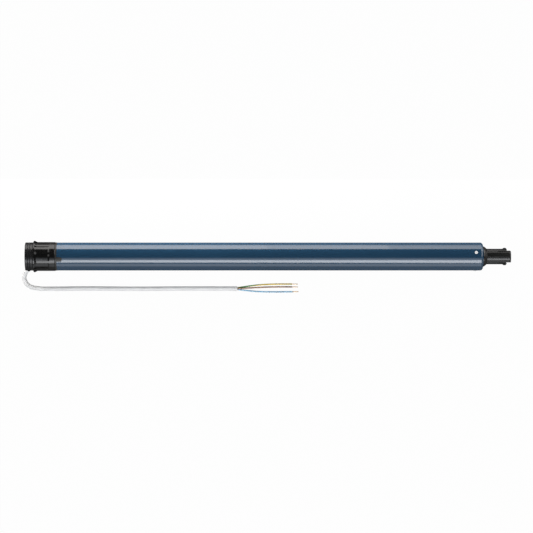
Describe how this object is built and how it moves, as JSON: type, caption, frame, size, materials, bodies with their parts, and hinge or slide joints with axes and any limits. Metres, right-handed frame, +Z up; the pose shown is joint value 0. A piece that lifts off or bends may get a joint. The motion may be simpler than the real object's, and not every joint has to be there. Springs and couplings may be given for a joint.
{
  "type": "tubular roller blind motor",
  "caption": "Tubular motor for a roller blind, with a free turning crown at the cable head, a geared splined drive shaft at the other end and a three-wire power cable.",
  "frame": {"origin": "Middle of the head's end face, at the mouth of the square socket, on the motor's axis.", "axes": "+X runs along the motor's axis from the head to the drive shaft; +Z is up when the motor lies with its cable beside it; +Y is the side away from the cable."},
  "size_m": [0.7901, 0.0838, 0.0506],
  "materials": {
    "blue_lacquer": "satin lacquer",
    "black_gloss": "gloss",
    "black_nylon": "satin",
    "grey_plastic": "matte",
    "white_sheath": "matte",
    "green_yellow": "satin",
    "brown": "satin",
    "blue_core": "satin",
    "copper": "drawn",
    "bright_steel": "bright",
    "gear_steel": "sintered",
    "ring_plastic": "matte",
    "bronze": "sintered",
    "lamination": "stacked sheet",
    "cast_alloy": "cast",
    "brake_steel": "plated",
    "brake_lining": "matte",
    "board_green": "satin",
    "board_parts": "satin",
    "terminal_green": "satin",
    "capacitor_white": "satin",
    "lead_white": "satin"
  },
  "bodies": {
    "motor": {"head_housing": "grey_plastic", "pinion_bracket": "grey_plastic", "tube_plug": "grey_plastic", "plug_screws": "bright_steel", "motor_tube": "blue_lacquer", "tube_rivets": "bright_steel", "end_bearing": "black_nylon", "output_bush": "bronze", "ring_gear": "ring_plastic", "gearbox_flange": "ring_plastic", "stator_core": "lamination", "stator_windings": "copper", "rear_shield": "cast_alloy", "front_shield": "cast_alloy", "shaft_bearings": "bright_steel", "brake_coil": "brake_steel", "brake_springs": "bright_steel", "brake_plate": "brake_steel", "circuit_tray": "ring_plastic", "circuit_board": "board_green", "board_relays": "board_parts", "board_transformer": "board_parts", "board_capacitors": "board_parts", "board_bridge": "board_parts", "board_radio": "board_parts", "board_terminals": "terminal_green", "run_capacitor": "capacitor_white", "capacitor_cradle": "ring_plastic", "button_switch": "board_green", "cable_grommet": "black_nylon", "cable_clamp": "black_nylon", "inner_leads": "lead_white", "power_cable": "white_sheath", "core_earth": "green_yellow", "core_live": "brown", "core_neutral": "blue_core", "wire_tips": "copper"},
    "crown": {"crown": "black_gloss"},
    "travel_pinion": {"travel_pinion": "ring_plastic"},
    "output": {"drive_shaft": "black_nylon", "drive_screw": "bright_steel", "carrier_3": "gear_steel"},
    "stage_2": {"carrier_2": "gear_steel"},
    "stage_1": {"carrier_1": "gear_steel"},
    "rotor": {"motor_shaft": "bright_steel", "rotor_core": "lamination", "rotor_cage": "cast_alloy", "brake_disc": "brake_lining"},
    "button": {"program_button": "black_nylon"},
    "armature": {"brake_armature": "brake_steel"},
    "planet_1a": {"planet_1a": "gear_steel"},
    "planet_1b": {"planet_1b": "gear_steel"},
    "planet_1c": {"planet_1c": "gear_steel"},
    "planet_2a": {"planet_2a": "gear_steel"},
    "planet_2b": {"planet_2b": "gear_steel"},
    "planet_2c": {"planet_2c": "gear_steel"},
    "planet_3a": {"planet_3a": "gear_steel"},
    "planet_3b": {"planet_3b": "gear_steel"},
    "planet_3c": {"planet_3c": "gear_steel"}
  },
  "joints": [
    {"name": "crown_turn", "type": "hinge", "parent": "motor", "child": "crown", "pos_m": [0.03, 0, 0], "axis": [1, 0, 0], "continuous": true},
    {"name": "travel_pinion_turn", "type": "hinge", "parent": "motor", "child": "travel_pinion", "pos_m": [0.046, 0, 0.014], "axis": [1, 0, 0], "continuous": true},
    {"name": "output_turn", "type": "hinge", "parent": "motor", "child": "output", "pos_m": [0.75, 0, 0], "axis": [1, 0, 0], "continuous": true},
    {"name": "stage_2_turn", "type": "hinge", "parent": "motor", "child": "stage_2", "pos_m": [0.6, 0, 0], "axis": [1, 0, 0], "continuous": true},
    {"name": "stage_1_turn", "type": "hinge", "parent": "motor", "child": "stage_1", "pos_m": [0.57, 0, 0], "axis": [1, 0, 0], "continuous": true},
    {"name": "rotor_turn", "type": "hinge", "parent": "motor", "child": "rotor", "pos_m": [0.4, 0, 0], "axis": [1, 0, 0], "continuous": true},
    {"name": "button_press", "type": "slide", "parent": "motor", "child": "button", "axis": [1, 0, 0], "range_m": [0, 0.0012], "stiffness_N_per_m": 300, "springref_m": -0.001},
    {"name": "brake_release", "type": "slide", "parent": "motor", "child": "armature", "axis": [-1, 0, 0], "range_m": [0, 0.0005], "stiffness_N_per_m": 3000, "springref_m": -0.002, "deforming": ["brake_springs"]},
    {"name": "planet_1a_turn", "type": "hinge", "parent": "stage_1", "child": "planet_1a", "pos_m": [0.563, 0.0108, 0], "axis": [1, 0, 0], "continuous": true},
    {"name": "planet_1b_turn", "type": "hinge", "parent": "stage_1", "child": "planet_1b", "pos_m": [0.563, -0.0054, 0.00935], "axis": [1, 0, 0], "continuous": true},
    {"name": "planet_1c_turn", "type": "hinge", "parent": "stage_1", "child": "planet_1c", "pos_m": [0.563, -0.0054, -0.00935], "axis": [1, 0, 0], "continuous": true},
    {"name": "planet_2a_turn", "type": "hinge", "parent": "stage_2", "child": "planet_2a", "pos_m": [0.591, 0.0108, 0], "axis": [1, 0, 0], "continuous": true},
    {"name": "planet_2b_turn", "type": "hinge", "parent": "stage_2", "child": "planet_2b", "pos_m": [0.591, -0.0054, 0.00935], "axis": [1, 0, 0], "continuous": true},
    {"name": "planet_2c_turn", "type": "hinge", "parent": "stage_2", "child": "planet_2c", "pos_m": [0.591, -0.0054, -0.00935], "axis": [1, 0, 0], "continuous": true},
    {"name": "planet_3a_turn", "type": "hinge", "parent": "output", "child": "planet_3a", "pos_m": [0.631, 0.0108, 0], "axis": [1, 0, 0], "continuous": true},
    {"name": "planet_3b_turn", "type": "hinge", "parent": "output", "child": "planet_3b", "pos_m": [0.631, -0.0054, 0.00935], "axis": [1, 0, 0], "continuous": true},
    {"name": "planet_3c_turn", "type": "hinge", "parent": "output", "child": "planet_3c", "pos_m": [0.631, -0.0054, -0.00935], "axis": [1, 0, 0], "continuous": true}
  ],
  "couplings": [
    {"joint": "travel_pinion_turn", "follows": "crown_turn", "ratio": 3.8},
    {"joint": "stage_2_turn", "follows": "output_turn", "ratio": 5.3333},
    {"joint": "stage_1_turn", "follows": "output_turn", "ratio": 28.444},
    {"joint": "rotor_turn", "follows": "output_turn", "ratio": 151.7},
    {"joint": "planet_1a_turn", "follows": "output_turn", "ratio": -73.956},
    {"joint": "planet_1b_turn", "follows": "output_turn", "ratio": -73.956},
    {"joint": "planet_1c_turn", "follows": "output_turn", "ratio": -73.956},
    {"joint": "planet_2a_turn", "follows": "output_turn", "ratio": -13.867},
    {"joint": "planet_2b_turn", "follows": "output_turn", "ratio": -13.867},
    {"joint": "planet_2c_turn", "follows": "output_turn", "ratio": -13.867},
    {"joint": "planet_3a_turn", "follows": "output_turn", "ratio": -2.6},
    {"joint": "planet_3b_turn", "follows": "output_turn", "ratio": -2.6},
    {"joint": "planet_3c_turn", "follows": "output_turn", "ratio": -2.6}
  ]
}
